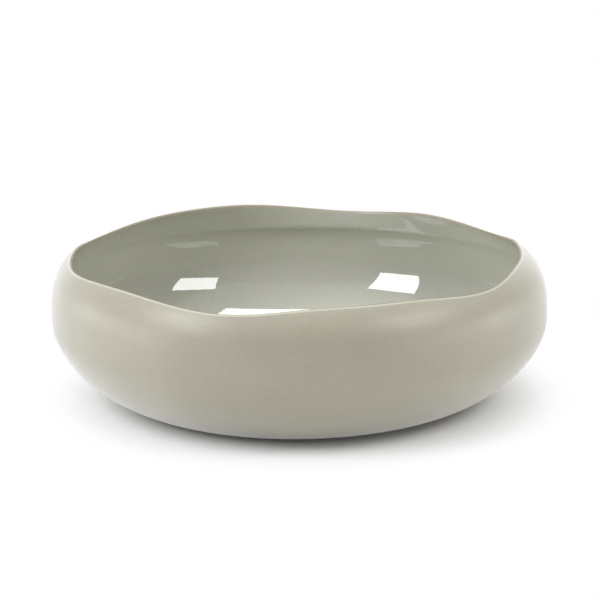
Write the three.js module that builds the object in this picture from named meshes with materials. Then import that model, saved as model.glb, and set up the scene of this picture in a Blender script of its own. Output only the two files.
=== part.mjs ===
// Serving bowl: one fired clay body, matt outside, with a glassy glaze coat inside up to the lip.
// Millimetres, +Z up. The origin is the middle of the foot, on the table, and -Y is the front.
import * as THREE from 'three';

// Overall form of the clay body: the widest level is the belly, and the lip is drawn in above it
const bellyRadius = 140;
const bellyHeight = 46.4;
const footRadius = 85;
const rimAboveBelly = 34.4;

// Curves of the wall: a fullness of 2 is an ellipse, more is squarer and less is flatter.
// The shoulder's curve aims at a crown above the rim, and the rim cuts it off before it gets there.
const lowerFullness = 1.74;
const shoulderFullness = 3.03;
const crownRadius = 69.5;
const crownAboveRim = 12.4;

// Fold pressed in across the back of the wall, with a straight band from it up to the lip.
// The wall comes in to it by the power foldCurve of the height, and it fades to either side by the
// power foldFade of the cosine.
const foldDepth = 4.5;
const bandHeight = 11.1;
const foldTurn = 85;
const foldCurve = 3;
const foldFade = 3;

// Wall, floor and lip
const floorThickness = 6;
const wallThickness = 4.2;
const lipThickness = 1.8;

// Underside: a flat foot ring round a shallow hollow
const footRingWidth = 7;
const hollowDepth = 1.6;
const hollowSlope = 5;

// Glaze coat on the inside, thinned where it ends on the lip's rounding
const glazeThickness = 0.45;
const glazeEdgeThickness = 0.15;
const glazeSeat = 0.05;
const bareLipArc = 60;

// Waves of the hand shaping: how many round the bowl, how far each swings, and the angle of one crest
const rimWaves = [
  { count: 2, swing: 0.95, crest: 137 },
  { count: 3, swing: 1.25, crest: 112 },
  { count: 4, swing: 1.15, crest: 21 },
  { count: 5, swing: 0.95, crest: 59.5 },
  { count: 6, swing: 1.3, crest: 54 },
  { count: 7, swing: 0.3, crest: 12 },
  { count: 8, swing: 0.55, crest: 4 },
  { count: 9, swing: 0.5, crest: 16.5 },
  { count: 10, swing: 0.15, crest: 17 },
  { count: 11, swing: 0.25, crest: 11.5 },
];
const bellyWaves = [
  { count: 2, swing: 1.45, crest: 22 },
  { count: 3, swing: 1.05, crest: 20 },
];
const leanWaves = [
  { count: 2, swing: 0.9, crest: 46 },
  { count: 3, swing: 0.6, crest: 82 },
];

// Fineness of the surfaces
const turnSteps = 72;
const lowerSteps = 12;
const shoulderSteps = 5;
const bandSteps = 3;
const bareLipSteps = 2;
const glazedLipSteps = 4;

const crownHeight = bellyHeight + rimAboveBelly + crownAboveRim;
const foldHeight = bellyHeight + rimAboveBelly - bandHeight;

// Sum of a set of waves at one angle round the bowl
function waveSum(waves, turn) {
  return waves.reduce((sum, wave) => {
    const crest = THREE.MathUtils.degToRad(wave.crest);
    return sum + wave.swing * Math.cos(wave.count * (turn - crest));
  }, 0);
}

// Outside of the wall from the foot, share 0, to the belly, share 1
function lowerWall(share) {
  const angle = share * Math.PI / 2;
  const spread = Math.pow(Math.sin(angle), 2 / lowerFullness);
  const climb = 1 - Math.pow(Math.cos(angle), 2 / lowerFullness);
  return new THREE.Vector2(
    THREE.MathUtils.lerp(footRadius, bellyRadius, spread),
    bellyHeight * climb,
  );
}

// Angle that sets one height on the shoulder's curve, 0 at the belly and a right angle at the crown
function shoulderAngle(height) {
  const climb = (height - bellyHeight) / (crownHeight - bellyHeight);
  return Math.asin(Math.pow(climb, shoulderFullness / 2));
}

// Outer radius of the plain shoulder at one height.
// The lean draws it out or in by more the nearer it is to the rim.
function shoulderRadius(height, lean) {
  const spread = Math.pow(Math.cos(shoulderAngle(height)), 2 / shoulderFullness);
  const leanShare = Math.pow((height - bellyHeight) / rimAboveBelly, 2);
  return THREE.MathUtils.lerp(crownRadius, bellyRadius, spread) + lean * leanShare;
}

// How far the fold, where it is deepest, sets the wall in at one height
function foldInset(height, edgeHeight, lean) {
  if (height < foldHeight) {
    return foldDepth * Math.pow((height - bellyHeight) / (foldHeight - bellyHeight), foldCurve);
  }
  const share = (height - foldHeight) / (edgeHeight - foldHeight);
  const foldRadius = shoulderRadius(foldHeight, lean) - foldDepth;
  const bandRadius = THREE.MathUtils.lerp(foldRadius, shoulderRadius(edgeHeight, lean), share);
  return shoulderRadius(height, lean) - bandRadius;
}

// Unit vector out of a wall curve at one share along it
function outwardNormal(curve, share) {
  const step = 0.01;
  const before = curve(Math.max(share - step, 0));
  const after = curve(Math.min(share + step, 1));
  const along = after.sub(before).normalize();
  return new THREE.Vector2(along.y, -along.x);
}

// Section of the wall at one angle round the bowl: its outside going up, the bare part of the lip's
// rounding, and its inside going down to the floor, with the way off the clay and the glaze over it
function wallSection(turn) {
  const edgeHeight = bellyHeight + rimAboveBelly + waveSum(rimWaves, turn);
  const lean = waveSum(leanWaves, turn);
  const offFold = Math.cos(turn - THREE.MathUtils.degToRad(foldTurn));
  const foldShare = Math.pow(Math.max(offFold, 0), foldFade);
  const edgeAngle = shoulderAngle(edgeHeight);
  const shoulder = (share) => {
    const climb = Math.pow(Math.sin(share * edgeAngle), 2 / shoulderFullness);
    const height = THREE.MathUtils.lerp(bellyHeight, crownHeight, climb);
    const inset = foldShare * foldInset(height, edgeHeight, lean);
    return new THREE.Vector2(shoulderRadius(height, lean) - inset, height);
  };
  const outside = [];
  const inside = [];
  const addStation = (curve, share, thickness) => {
    const point = curve(share);
    const inward = outwardNormal(curve, share).negate();
    outside.push(point);
    inside.unshift({
      point: point.clone().addScaledVector(inward, thickness),
      away: inward,
      glaze: glazeThickness,
    });
  };
  for (let i = 0; i <= lowerSteps; i += 1) {
    const share = i / lowerSteps;
    const thickness = THREE.MathUtils.lerp(floorThickness, wallThickness, share);
    addStation(lowerWall, share, thickness);
  }
  const bandShare = shoulderAngle(foldHeight) / edgeAngle;
  for (let i = 1; i <= shoulderSteps + bandSteps; i += 1) {
    const share = i <= shoulderSteps
      ? bandShare * i / shoulderSteps
      : THREE.MathUtils.lerp(bandShare, 1, (i - shoulderSteps) / bandSteps);
    const thickness = THREE.MathUtils.lerp(wallThickness, lipThickness, share);
    addStation(shoulder, share, thickness);
  }

  const lipRadius = lipThickness / 2;
  const lipCentre = outside[outside.length - 1].clone().add(inside[0].point).multiplyScalar(0.5);
  const startAngle = inside[0].away.clone().negate().angle();
  const bareArc = THREE.MathUtils.degToRad(bareLipArc);
  const spokeAt = (arc) => new THREE.Vector2(Math.cos(startAngle + arc), Math.sin(startAngle + arc));
  const bareLip = [];
  for (let i = 1; i < bareLipSteps; i += 1) {
    const spoke = spokeAt(bareArc * i / bareLipSteps);
    bareLip.push(lipCentre.clone().addScaledVector(spoke, lipRadius));
  }
  for (let i = 1; i <= glazedLipSteps; i += 1) {
    const share = i / glazedLipSteps;
    const spoke = spokeAt(THREE.MathUtils.lerp(Math.PI, bareArc, share));
    inside.unshift({
      point: lipCentre.clone().addScaledVector(spoke, lipRadius),
      away: spoke,
      glaze: THREE.MathUtils.lerp(glazeThickness, glazeEdgeThickness, share),
    });
  }
  return { outside, bareLip, inside };
}

// Half section of the clay body, from the axis underneath, round the lip, to the axis on the floor
function bodyOutline(turn) {
  const { outside, bareLip, inside } = wallSection(turn);
  const ringInside = footRadius - footRingWidth;
  return [
    new THREE.Vector2(0, hollowDepth),
    new THREE.Vector2(ringInside - hollowSlope, hollowDepth),
    new THREE.Vector2(ringInside, 0),
    ...outside,
    ...bareLip,
    ...inside.map(({ point }) => point),
    new THREE.Vector2(0, floorThickness),
  ];
}

// Half section of the glaze coat: out along the clay and over the lip, and back on its free face
function glazeOutline(turn) {
  const { inside } = wallSection(turn);
  const seatFace = inside.map(({ point, away }) => point.clone().addScaledVector(away, glazeSeat));
  const freeFace = inside.map(({ point, away, glaze }) => (
    point.clone().addScaledVector(away, glazeSeat + glaze)
  ));
  return [
    new THREE.Vector2(0, floorThickness + glazeSeat),
    ...seatFace.reverse(),
    ...freeFace,
    new THREE.Vector2(0, floorThickness + glazeSeat + glazeThickness),
  ];
}

// Two facets of a four-sided patch, split from its lower corner on one side to its upper corner on
// the other, so that faces in contact are split alike whichever way their outlines run
function splitPatch([a, b, c, d], positions) {
  const height = (index) => positions[3 * index + 2];
  if (height(b) >= height(a)) {
    return [a, d, c, a, c, b];
  }
  return [a, d, b, d, c, b];
}

// Closed surface swept round the axis from a half section that may change with the angle
function sweepRound(outlineAt) {
  const positions = [];
  const indices = [];
  const ringSize = outlineAt(0).length - 2;
  for (let i = 0; i < turnSteps; i += 1) {
    const turn = 2 * Math.PI * i / turnSteps;
    const swell = 1 + waveSum(bellyWaves, turn) / bellyRadius;
    outlineAt(turn).slice(1, -1).forEach((point) => {
      const radius = point.x * swell;
      positions.push(radius * Math.cos(turn), radius * Math.sin(turn), point.y);
    });
  }
  const axisPoints = outlineAt(0);
  const firstPole = turnSteps * ringSize;
  const lastPole = firstPole + 1;
  positions.push(0, 0, axisPoints[0].y, 0, 0, axisPoints[ringSize + 1].y);

  for (let i = 0; i < turnSteps; i += 1) {
    const here = i * ringSize;
    const next = ((i + 1) % turnSteps) * ringSize;
    indices.push(firstPole, next, here);
    for (let j = 0; j < ringSize - 1; j += 1) {
      const corners = [here + j, here + j + 1, next + j + 1, next + j];
      indices.push(...splitPatch(corners, positions));
    }
    indices.push(lastPole, here + ringSize - 1, next + ringSize - 1);
  }

  const geometry = new THREE.BufferGeometry();
  geometry.setAttribute('position', new THREE.Float32BufferAttribute(positions, 3));
  geometry.setIndex(indices);
  geometry.computeVertexNormals();
  return geometry;
}

// Matt fired clay
const clay = new THREE.MeshStandardMaterial({ color: 0xa29e8d, roughness: 0.4, metalness: 0 });

// Glossy grey-green glaze
const glass = new THREE.MeshStandardMaterial({ color: 0xb1b2a6, roughness: 0.05, metalness: 0 });

// Clay body: foot ring, floor, swelling wall and rounded lip, all thrown and fired as one
const clayBody = new THREE.Mesh(sweepRound(bodyOutline), clay);
clayBody.name = 'clay_body';

// Glaze coat: fused to the clay over the whole inside
const innerGlaze = new THREE.Mesh(sweepRound(glazeOutline), glass);
innerGlaze.name = 'inner_glaze';

const bowl = new THREE.Group();
bowl.add(clayBody, innerGlaze);

export default bowl;
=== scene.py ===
import math

import bpy
from mathutils import Matrix, Vector


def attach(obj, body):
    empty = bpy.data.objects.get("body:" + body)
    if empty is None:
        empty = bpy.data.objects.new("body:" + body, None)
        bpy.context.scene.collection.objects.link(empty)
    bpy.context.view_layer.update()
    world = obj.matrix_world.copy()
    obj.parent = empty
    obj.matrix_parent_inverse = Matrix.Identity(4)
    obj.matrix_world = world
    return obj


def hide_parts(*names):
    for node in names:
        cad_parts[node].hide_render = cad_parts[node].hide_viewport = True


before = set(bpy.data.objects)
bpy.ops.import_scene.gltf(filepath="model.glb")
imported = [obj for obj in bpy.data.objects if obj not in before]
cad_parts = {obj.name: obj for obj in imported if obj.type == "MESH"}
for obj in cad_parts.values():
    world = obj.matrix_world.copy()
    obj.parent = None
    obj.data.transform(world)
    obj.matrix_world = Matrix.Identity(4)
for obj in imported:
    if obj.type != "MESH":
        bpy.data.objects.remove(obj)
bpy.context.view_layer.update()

# The bowl's sizes are in millimetres, as in the frame's own drawing, and its meshes are written in metres
MM = 0.001

# Overall form of the clay body
BELLY_RADIUS = 140
BELLY_HEIGHT = 46.4
FOOT_RADIUS = 85
RIM_ABOVE_BELLY = 34.4

# Curves of the wall
LOWER_FULLNESS = 1.74
SHOULDER_FULLNESS = 3.03
CROWN_RADIUS = 69.5
CROWN_ABOVE_RIM = 12.4
CROWN_HEIGHT = BELLY_HEIGHT + RIM_ABOVE_BELLY + CROWN_ABOVE_RIM

# Fold pressed in across the back of the wall, with a straight band from it up to the lip
FOLD_DEPTH = 4.5
BAND_HEIGHT = 11.1
FOLD_TURN = math.radians(85)
FOLD_CURVE = 3
FOLD_FADE = 3
FOLD_HEIGHT = BELLY_HEIGHT + RIM_ABOVE_BELLY - BAND_HEIGHT

# Wall, floor, lip and underside
FLOOR_THICKNESS = 6
WALL_THICKNESS = 4.2
LIP_THICKNESS = 1.8
FOOT_RING_WIDTH = 7
HOLLOW_DEPTH = 1.6
HOLLOW_SLOPE = 5

# Glaze coat
GLAZE_THICKNESS = 0.45
GLAZE_EDGE_THICKNESS = 0.15
GLAZE_SEAT = 0.05
BARE_LIP_ARC = math.radians(60)

# Waves of the hand shaping: how many round the bowl, how far each swings, and the angle of one crest
RIM_WAVES = ((2, 0.95, 137), (3, 1.25, 112), (4, 1.15, 21), (5, 0.95, 59.5), (6, 1.3, 54),
             (7, 0.3, 12), (8, 0.55, 4), (9, 0.5, 16.5), (10, 0.15, 17), (11, 0.25, 11.5))
BELLY_WAVES = ((2, 1.45, 22), (3, 1.05, 20))
LEAN_WAVES = ((2, 0.9, 46), (3, 0.6, 82))

# Fineness of the surfaces
TURN_STEPS = 288
LOWER_STEPS = 60
SHOULDER_STEPS = 30
BAND_STEPS = 14
BARE_LIP_STEPS = 8
GLAZED_LIP_STEPS = 16

# Colours, as linear light, and levels of grey that darken them in places
WHITE = (1, 1, 1, 1)
CLAY_DARK = (0.327, 0.307, 0.236, 1)
CLAY_PALE = (0.351, 0.330, 0.256, 1)
MOTTLE_GREY = (0.975, 0.975, 0.975, 1)
CLAY_GRAIN_GREY = (0.90, 0.90, 0.90, 1)
# Pale cream on the bare lip: a painted highlight where the lip's top catches the light
LIP_HIGHLIGHT_CREAM = (0.46, 0.448, 0.347, 1)
GLAZE_DARK = (0.449, 0.455, 0.381, 1)
GLAZE_PALE = (0.471, 0.477, 0.402, 1)
GLAZE_GRAIN_GREY = (0.88, 0.87, 0.86, 1)
SPECK_BROWN = (0.14, 0.12, 0.085, 1)
LIP_TAN = (0.24, 0.208, 0.143, 1)
TABLE_WHITE = (0.88, 0.88, 0.88, 1)

# Surfaces: roughness and its swing on the clay, the clay's sheen, the glaze's index of refraction, its
# roughness inside and where it is dry on the lip, and how far round the lip it is all tan and all dry
CLAY_ROUGHNESS = 0.4
ROUGHNESS_SWING = 0.03
SHEEN_WEIGHT = 0.8
SHEEN_ROUGHNESS = 0.4
GLAZE_IOR = 1.75
GLAZE_ROUGHNESS = 0.015
DRY_ROUGHNESS = 0.45
TAN_BY = 0.4
DRY_BY = 0.3
TABLE_ROUGHNESS = 0.9

# Patterns: the levels of the noise that a change of colour runs between, its scales, per metre, and the
# depths of the bumps, in metres
NOISE_LOW = 0.3
NOISE_HIGH = 0.7
CLAY_CLOUDS = 28
CLAY_MOTTLE = 260
CLAY_GRAIN = 1300
CLAY_PATCHES = 40
CLAY_BUMPS = 1800
CLAY_BUMP_DEPTH = 0.00002
GLAZE_CLOUDS = 18
GLAZE_GRAIN = 1100
GLAZE_BUMPS = 420
GLAZE_BUMP_DEPTH = 0.000004

# Iron specks in the glaze: cells per metre, the core and the edge of a speck as shares of its cell,
# and the level of chance that a cell has to pass to hold one
SPECK_CELLS = 70
SPECK_CORE = 0.015
SPECK_EDGE = 0.032
SPECK_CHANCE = 0.5

# Table: between two distances from the middle of the fade, the white of the background takes over
# from the lit table. It starts further out in reflections, which keep the shadow under the wall.
TABLE_HALF = 40
FADE_MIDDLE = (0.005, 0, 0)
FADE_FROM = 0.093
FADE_TO = 0.160
GLOSS_FADE_FROM = 0.115
GLOSS_FADE_TO = 0.180

# Light
WORLD_LIGHT = 0.3
BOWL_MIDDLE = (0, 0, 0.04)
COOL = (0.985, 0.99, 1.04)

# Camera
CAMERA_RISE = math.radians(14.375)
CAMERA_DISTANCE = 1.4
CAMERA_AIM = Vector((0.00072, 0, 0.05435))
CAMERA_LENS = 147.13
CAMERA_SENSOR = 36
CAMERA_REACH = 50


def mix(low, high, share):
    return low + (high - low) * share


def wave_sum(waves, turn):
    return sum(swing * math.cos(count * (turn - math.radians(crest))) for count, swing, crest in waves)


def lower_wall(share):
    """Outside of the wall from the foot, share 0, to the belly, share 1."""
    angle = share * math.pi / 2
    spread = math.sin(angle) ** (2 / LOWER_FULLNESS)
    climb = 1 - max(math.cos(angle), 0) ** (2 / LOWER_FULLNESS)
    return Vector((mix(FOOT_RADIUS, BELLY_RADIUS, spread), BELLY_HEIGHT * climb))


def shoulder_angle(height):
    """Angle that sets one height on the shoulder's curve."""
    climb = (height - BELLY_HEIGHT) / (CROWN_HEIGHT - BELLY_HEIGHT)
    return math.asin(climb ** (SHOULDER_FULLNESS / 2))


def shoulder_radius(height, lean):
    """Outer radius of the plain shoulder at one height."""
    spread = math.cos(shoulder_angle(height)) ** (2 / SHOULDER_FULLNESS)
    lean_share = ((height - BELLY_HEIGHT) / RIM_ABOVE_BELLY) ** 2
    return mix(CROWN_RADIUS, BELLY_RADIUS, spread) + lean * lean_share


def fold_inset(height, edge_height, lean):
    """How far the fold, where it is deepest, sets the wall in at one height."""
    if height < FOLD_HEIGHT:
        return FOLD_DEPTH * ((height - BELLY_HEIGHT) / (FOLD_HEIGHT - BELLY_HEIGHT)) ** FOLD_CURVE
    share = (height - FOLD_HEIGHT) / (edge_height - FOLD_HEIGHT)
    fold_radius = shoulder_radius(FOLD_HEIGHT, lean) - FOLD_DEPTH
    band_radius = mix(fold_radius, shoulder_radius(edge_height, lean), share)
    return shoulder_radius(height, lean) - band_radius


def outward_normal(curve, share):
    """Unit vector out of a wall curve at one share along it."""
    step = 0.01
    along = curve(min(share + step, 1)) - curve(max(share - step, 0))
    along.normalize()
    return Vector((along.y, -along.x))


def wall_section(turn):
    """Section of the wall at one angle round the bowl: the outside going up, the bare part of the
    lip, and the inside going down, each place there with the way off the clay, the glaze on it and
    how far round the lip it is."""
    edge_height = BELLY_HEIGHT + RIM_ABOVE_BELLY + wave_sum(RIM_WAVES, turn)
    lean = wave_sum(LEAN_WAVES, turn)

    fold_share = max(math.cos(turn - FOLD_TURN), 0) ** FOLD_FADE
    edge_angle = shoulder_angle(edge_height)
    band_share = shoulder_angle(FOLD_HEIGHT) / edge_angle

    def shoulder(share):
        climb = math.sin(share * edge_angle) ** (2 / SHOULDER_FULLNESS)
        height = mix(BELLY_HEIGHT, CROWN_HEIGHT, climb)
        inset = fold_share * fold_inset(height, edge_height, lean)
        return Vector((shoulder_radius(height, lean) - inset, height))

    outside = []
    inside = []
    levels = [(lower_wall, i / LOWER_STEPS, FLOOR_THICKNESS, WALL_THICKNESS)
              for i in range(LOWER_STEPS + 1)]
    shares = [band_share * i / SHOULDER_STEPS for i in range(1, SHOULDER_STEPS + 1)]
    shares += [mix(band_share, 1, i / BAND_STEPS) for i in range(1, BAND_STEPS + 1)]
    levels += [(shoulder, share, WALL_THICKNESS, LIP_THICKNESS) for share in shares]
    for curve, share, thickness_from, thickness_to in levels:
        point = curve(share)
        inward = -outward_normal(curve, share)
        outside.append(point)
        thickness = mix(thickness_from, thickness_to, share)
        inside.insert(0, (point + inward * thickness, inward, GLAZE_THICKNESS, 0))

    lip_radius = LIP_THICKNESS / 2
    lip_centre = (outside[-1] + inside[0][0]) / 2
    start = math.atan2(-inside[0][1].y, -inside[0][1].x)
    bare_lip = []
    for i in range(1, BARE_LIP_STEPS):
        angle = start + BARE_LIP_ARC * i / BARE_LIP_STEPS
        bare_lip.append(lip_centre + Vector((math.cos(angle), math.sin(angle))) * lip_radius)
    for i in range(1, GLAZED_LIP_STEPS + 1):
        share = i / GLAZED_LIP_STEPS
        angle = start + mix(math.pi, BARE_LIP_ARC, share)
        spoke = Vector((math.cos(angle), math.sin(angle)))
        glaze = mix(GLAZE_THICKNESS, GLAZE_EDGE_THICKNESS, share)
        inside.insert(0, (lip_centre + spoke * lip_radius, spoke, glaze, share))
    return outside, bare_lip, inside


def body_outline(turn):
    """Half section of the clay body, from the axis underneath, round the lip, to the axis. Each place
    comes with its share of the bare lip's pale cream, a painted highlight."""
    outside, bare_lip, inside = wall_section(turn)
    ring_inside = FOOT_RADIUS - FOOT_RING_WIDTH
    underside = [(0, HOLLOW_DEPTH), (ring_inside - HOLLOW_SLOPE, HOLLOW_DEPTH), (ring_inside, 0)]
    outline = [(Vector(place), 0) for place in underside]
    outline += [(point, 0) for point in outside[:-1]]
    outline += [(point, 1) for point in [outside[-1]] + bare_lip]
    outline += [(point, lip) for point, _, _, lip in inside]
    outline.append((Vector((0, FLOOR_THICKNESS)), 0))
    return outline


def glaze_outline(turn):
    """Half section of the glaze coat: out along the clay and over the lip, and back on its free face.
    Each place comes with how far round the lip it is."""
    _, _, inside = wall_section(turn)
    seat_face = [(point + away * GLAZE_SEAT, lip) for point, away, _, lip in inside]
    free_face = [(point + away * (GLAZE_SEAT + glaze), lip) for point, away, glaze, lip in inside]
    outline = [(Vector((0, FLOOR_THICKNESS + GLAZE_SEAT)), 0)]
    outline += list(reversed(seat_face)) + free_face
    outline.append((Vector((0, FLOOR_THICKNESS + GLAZE_SEAT + GLAZE_THICKNESS)), 0))
    return outline


def sweep_round(name, outline_at):
    """Closed mesh swept round the axis from a half section that changes with the angle."""
    vertices = []
    lips = []
    for i in range(TURN_STEPS):
        turn = 2 * math.pi * i / TURN_STEPS
        swell = 1 + wave_sum(BELLY_WAVES, turn) / BELLY_RADIUS
        outline = outline_at(turn)
        for point, lip in outline[1:-1]:
            radius = point.x * swell * MM
            vertices.append((radius * math.cos(turn), radius * math.sin(turn), point.y * MM))
            lips.append(lip)
    ring = len(outline) - 2
    first_pole = len(vertices)
    last_pole = first_pole + 1
    for point, lip in (outline[0], outline[-1]):
        vertices.append((0, 0, point.y * MM))
        lips.append(lip)
    faces = []
    for i in range(TURN_STEPS):
        here = i * ring
        beside = (i + 1) % TURN_STEPS * ring
        faces.append((first_pole, beside, here))
        for j in range(ring - 1):
            faces.append((here + j, beside + j, beside + j + 1, here + j + 1))
        faces.append((last_pole, here + ring - 1, beside + ring - 1))
    mesh = bpy.data.meshes.new(name)
    mesh.from_pydata(vertices, [], faces)
    mesh.attributes.new("lip", "FLOAT", "POINT").data.foreach_set("value", lips)
    mesh.validate()
    mesh.shade_smooth()
    piece = bpy.data.objects.new(name, mesh)
    bpy.context.scene.collection.objects.link(piece)
    return piece


def new_material(name):
    material = bpy.data.materials.new(name)
    material.use_nodes = True
    return material, material.node_tree.nodes, material.node_tree.links


def set_input(links, socket, value):
    """Give a socket a number or a colour, or link another socket to it."""
    if isinstance(value, (int, float, tuple)):
        socket.default_value = value
    else:
        links.new(value, socket)


def ramp(nodes, links, source, low, high):
    """Colour that a noise drives from one to another."""
    tone = nodes.new("ShaderNodeValToRGB")
    tone.color_ramp.elements[0].position = NOISE_LOW
    tone.color_ramp.elements[0].color = low
    tone.color_ramp.elements[1].position = NOISE_HIGH
    tone.color_ramp.elements[1].color = high
    links.new(source, tone.inputs["Fac"])
    return tone.outputs["Color"]


def noise(nodes, links, vector, scale, detail=2.0):
    cloud = nodes.new("ShaderNodeTexNoise")
    cloud.inputs["Scale"].default_value = scale
    cloud.inputs["Detail"].default_value = detail
    links.new(vector, cloud.inputs["Vector"])
    return cloud.outputs["Fac"]


def blend(nodes, links, kind, share, first, second):
    """Colour mix of the given kind. Its share and its colours are values or sockets."""
    mixer = nodes.new("ShaderNodeMix")
    mixer.data_type = "RGBA"
    mixer.blend_type = kind
    colours = [socket for socket in mixer.inputs if socket.type == "RGBA"]
    for socket, value in zip([mixer.inputs["Factor"]] + colours, (share, first, second)):
        set_input(links, socket, value)
    return next(socket for socket in mixer.outputs if socket.type == "RGBA")


def map_range(nodes, links, source, from_low, from_high, to_low=0.0, to_high=1.0):
    """Smooth step from one value to another while the source goes from low to high."""
    span = nodes.new("ShaderNodeMapRange")
    span.interpolation_type = "SMOOTHSTEP"
    span.inputs["From Min"].default_value = from_low
    span.inputs["From Max"].default_value = from_high
    span.inputs["To Min"].default_value = to_low
    span.inputs["To Max"].default_value = to_high
    links.new(source, span.inputs["Value"])
    return span.outputs["Result"]


def math_node(nodes, links, operation, first, second):
    node = nodes.new("ShaderNodeMath")
    node.operation = operation
    set_input(links, node.inputs[0], first)
    set_input(links, node.inputs[1], second)
    return node.outputs["Value"]


def add_bump(nodes, links, shader, height, depth):
    bump = nodes.new("ShaderNodeBump")
    bump.inputs["Strength"].default_value = 1
    bump.inputs["Distance"].default_value = depth
    links.new(height, bump.inputs["Height"])
    links.new(bump.outputs["Normal"], shader.inputs["Normal"])


def lip_mask(nodes, links, low, high, from_value=0.0, to_value=1.0):
    """One value to another between two shares of the way round the lip, which the mesh holds."""
    lip = nodes.new("ShaderNodeAttribute")
    lip.attribute_name = "lip"
    return map_range(nodes, links, lip.outputs["Fac"], low, high, from_value, to_value)


def clay_material():
    """Matt fired clay: fine grain, faint clouding, a soft sheen, and a pale cream painted highlight on
    the bare lip.
    """
    material, nodes, links = new_material("matt_clay")
    shader = nodes["Principled BSDF"]
    shader.inputs["Sheen Weight"].default_value = SHEEN_WEIGHT
    shader.inputs["Sheen Roughness"].default_value = SHEEN_ROUGHNESS
    shader.inputs["Sheen Tint"].default_value = WHITE
    place = nodes.new("ShaderNodeTexCoord").outputs["Object"]

    colour = ramp(nodes, links, noise(nodes, links, place, CLAY_CLOUDS), CLAY_DARK, CLAY_PALE)
    mottle = ramp(nodes, links, noise(nodes, links, place, CLAY_MOTTLE, 3), MOTTLE_GREY, WHITE)
    colour = blend(nodes, links, "MULTIPLY", 1.0, colour, mottle)
    grain = ramp(nodes, links, noise(nodes, links, place, CLAY_GRAIN), CLAY_GRAIN_GREY, WHITE)
    colour = blend(nodes, links, "MULTIPLY", 1.0, colour, grain)
    # Painted highlight: pale cream over the bare lip, where its top catches the light
    colour = blend(nodes, links, "MIX", lip_mask(nodes, links, 0, 1), colour, LIP_HIGHLIGHT_CREAM)
    links.new(colour, shader.inputs["Base Color"])

    patches = noise(nodes, links, place, CLAY_PATCHES)
    rough = map_range(nodes, links, patches, NOISE_LOW, NOISE_HIGH,
                      CLAY_ROUGHNESS - ROUGHNESS_SWING, CLAY_ROUGHNESS + ROUGHNESS_SWING)
    links.new(rough, shader.inputs["Roughness"])
    add_bump(nodes, links, shader, noise(nodes, links, place, CLAY_BUMPS), CLAY_BUMP_DEPTH)
    return material


def specks(nodes, links, place):
    """Share of a speck's colour: a small dot in the middle of some of the cells."""
    cells = nodes.new("ShaderNodeTexVoronoi")
    cells.inputs["Scale"].default_value = SPECK_CELLS
    links.new(place, cells.inputs["Vector"])
    dot = map_range(nodes, links, cells.outputs["Distance"], SPECK_CORE, SPECK_EDGE, 1.0, 0.0)
    chance = nodes.new("ShaderNodeSeparateColor")
    links.new(cells.outputs["Color"], chance.inputs["Color"])
    held = math_node(nodes, links, "GREATER_THAN", chance.outputs["Red"], SPECK_CHANCE)
    return math_node(nodes, links, "MULTIPLY", dot, held)


def glaze_material():
    """Glossy glaze over grey-green clay: faint clouding, a few iron specks, thin and tan on the lip."""
    material, nodes, links = new_material("glossy_glaze")
    shader = nodes["Principled BSDF"]
    shader.inputs["IOR"].default_value = GLAZE_IOR
    place = nodes.new("ShaderNodeTexCoord").outputs["Object"]

    colour = ramp(nodes, links, noise(nodes, links, place, GLAZE_CLOUDS), GLAZE_DARK, GLAZE_PALE)
    grain = ramp(nodes, links, noise(nodes, links, place, GLAZE_GRAIN), GLAZE_GRAIN_GREY, WHITE)
    colour = blend(nodes, links, "MULTIPLY", 1.0, colour, grain)
    colour = blend(nodes, links, "MIX", specks(nodes, links, place), colour, SPECK_BROWN)
    colour = blend(nodes, links, "MIX", lip_mask(nodes, links, 0, TAN_BY), colour, LIP_TAN)
    links.new(colour, shader.inputs["Base Color"])

    rough = lip_mask(nodes, links, 0, DRY_BY, GLAZE_ROUGHNESS, DRY_ROUGHNESS)
    links.new(rough, shader.inputs["Roughness"])
    add_bump(nodes, links, shader, noise(nodes, links, place, GLAZE_BUMPS), GLAZE_BUMP_DEPTH)
    return material


def floor_material():
    """White table top that keeps the bowl's shadow. Further out the camera and gloss see plain white."""
    material, nodes, links = new_material("white_table")
    shader = nodes["Principled BSDF"]
    shader.inputs["Base Color"].default_value = TABLE_WHITE
    shader.inputs["Roughness"].default_value = TABLE_ROUGHNESS
    shader.inputs["Specular IOR Level"].default_value = 0.0
    place = nodes.new("ShaderNodeTexCoord").outputs["Object"]
    reach = nodes.new("ShaderNodeVectorMath")
    reach.operation = "DISTANCE"
    reach.inputs[1].default_value = FADE_MIDDLE
    links.new(place, reach.inputs[0])
    away = map_range(nodes, links, reach.outputs["Value"], FADE_FROM, FADE_TO)
    gloss_away = map_range(nodes, links, reach.outputs["Value"], GLOSS_FADE_FROM, GLOSS_FADE_TO)
    ray = nodes.new("ShaderNodeLightPath").outputs
    to_eye = math_node(nodes, links, "MULTIPLY", away, ray["Is Camera Ray"])
    gloss = math_node(nodes, links, "MAXIMUM", ray["Is Glossy Ray"], ray["Is Transmission Ray"])
    to_gloss = math_node(nodes, links, "MULTIPLY", gloss_away, gloss)
    share = math_node(nodes, links, "MAXIMUM", to_eye, to_gloss)
    white = nodes.new("ShaderNodeEmission")
    white.inputs["Color"].default_value = WHITE
    white.inputs["Strength"].default_value = 1
    mixer = nodes.new("ShaderNodeMixShader")
    links.new(share, mixer.inputs["Fac"])
    links.new(shader.outputs["BSDF"], mixer.inputs[1])
    links.new(white.outputs["Emission"], mixer.inputs[2])
    links.new(mixer.outputs["Shader"], nodes["Material Output"].inputs["Surface"])
    return material


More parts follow.
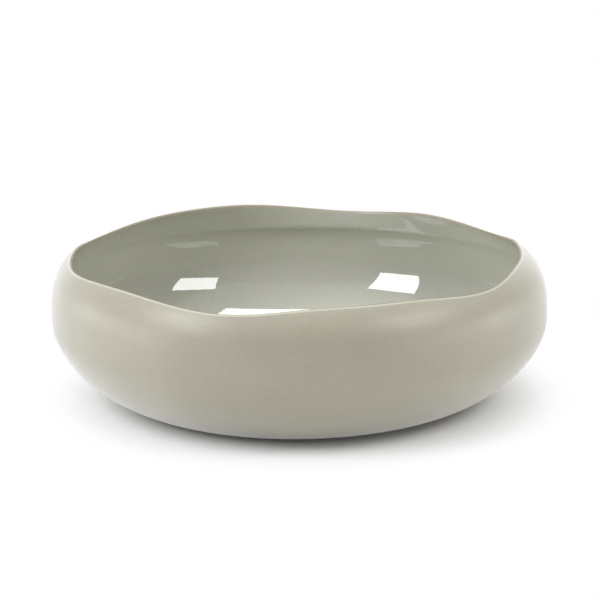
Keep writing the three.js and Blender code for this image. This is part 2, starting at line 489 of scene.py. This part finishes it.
def softbox(name, place, aim, size, roll, radiance, tint=(1, 1, 1)):
    """Flat rectangular light of even radiance, turned about its own beam by roll degrees. The
    camera doesn't see it."""
    light = bpy.data.lights.new(name, "AREA")
    light.color = tint
    light.shape = "RECTANGLE"
    light.size, light.size_y = size
    light.energy = radiance * math.pi * size[0] * size[1]
    holder = bpy.data.objects.new(name, light)
    holder.visible_camera = False
    beam = (Vector(aim) - Vector(place)).to_track_quat("-Z", "Y").to_matrix().to_4x4()
    holder.matrix_world = Matrix.Translation(place) @ beam @ Matrix.Rotation(math.radians(roll), 4, "Z")
    bpy.context.scene.collection.objects.link(holder)


# Bowl
clay_body = sweep_round("clay_body_fine", body_outline)
clay_body.data.materials.append(clay_material())
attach(clay_body, "root")
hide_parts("clay_body")

inner_glaze = sweep_round("inner_glaze_fine", glaze_outline)
inner_glaze.data.materials.append(glaze_material())
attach(inner_glaze, "root")
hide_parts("inner_glaze")

# Table
table_corners = [(TABLE_HALF * x, TABLE_HALF * y, 0) for x, y in ((-1, -1), (1, -1), (1, 1), (-1, 1))]
table_mesh = bpy.data.meshes.new("table")
table_mesh.from_pydata(table_corners, [], [(0, 1, 2, 3)])
table = bpy.data.objects.new("table", table_mesh)
bpy.context.scene.collection.objects.link(table)
table_mesh.materials.append(floor_material())

# Light
world = bpy.data.worlds.new("studio")
bpy.context.scene.world = world
world.use_nodes = True
world_background = world.node_tree.nodes["Background"]
world_background.inputs["Color"].default_value = WHITE
world_background.inputs["Strength"].default_value = WORLD_LIGHT
softbox("right_box", (0.845, -0.447, 0.79), BOWL_MIDDLE, (0.44, 0.43), -34, 8)
softbox("left_box", (-0.815, -0.535, 0.80), BOWL_MIDDLE, (0.45, 0.70), 15, 8.5, COOL)
softbox("top_box", (-0.09, 0.25, 1.3), (-0.09, 0.25, 0), (1.02, 0.30), 0, 8.3)
softbox("left_panel", (-1.5, -0.15, 0.15), (0, -0.15, 0.15), (1.6, 0.3), 0, 4.4, COOL)
softbox("right_panel", (1.5, -0.15, 0.15), (0, -0.15, 0.15), (1.6, 0.3), 0, 3.8)
softbox("back_panel", (0, 1.8, 0.35), (0, 0, 0.35), (2.4, 0.6), 0, 1.6)
softbox("ceiling", (0, 0, 1.6), (0, 0, 0), (2.4, 2.4), 0, 0.45)

# Camera
camera = bpy.data.objects.new("camera", bpy.data.cameras.new("camera"))
camera.data.lens = CAMERA_LENS
camera.data.sensor_width = CAMERA_SENSOR
camera.data.clip_end = CAMERA_REACH
camera_side = Vector((0, -math.cos(CAMERA_RISE), math.sin(CAMERA_RISE)))
camera.location = CAMERA_AIM + camera_side * CAMERA_DISTANCE
camera.rotation_euler = (math.pi / 2 - CAMERA_RISE, 0, 0)
bpy.context.scene.collection.objects.link(camera)
bpy.context.scene.camera = camera
bpy.context.scene.view_settings.view_transform = "Standard"
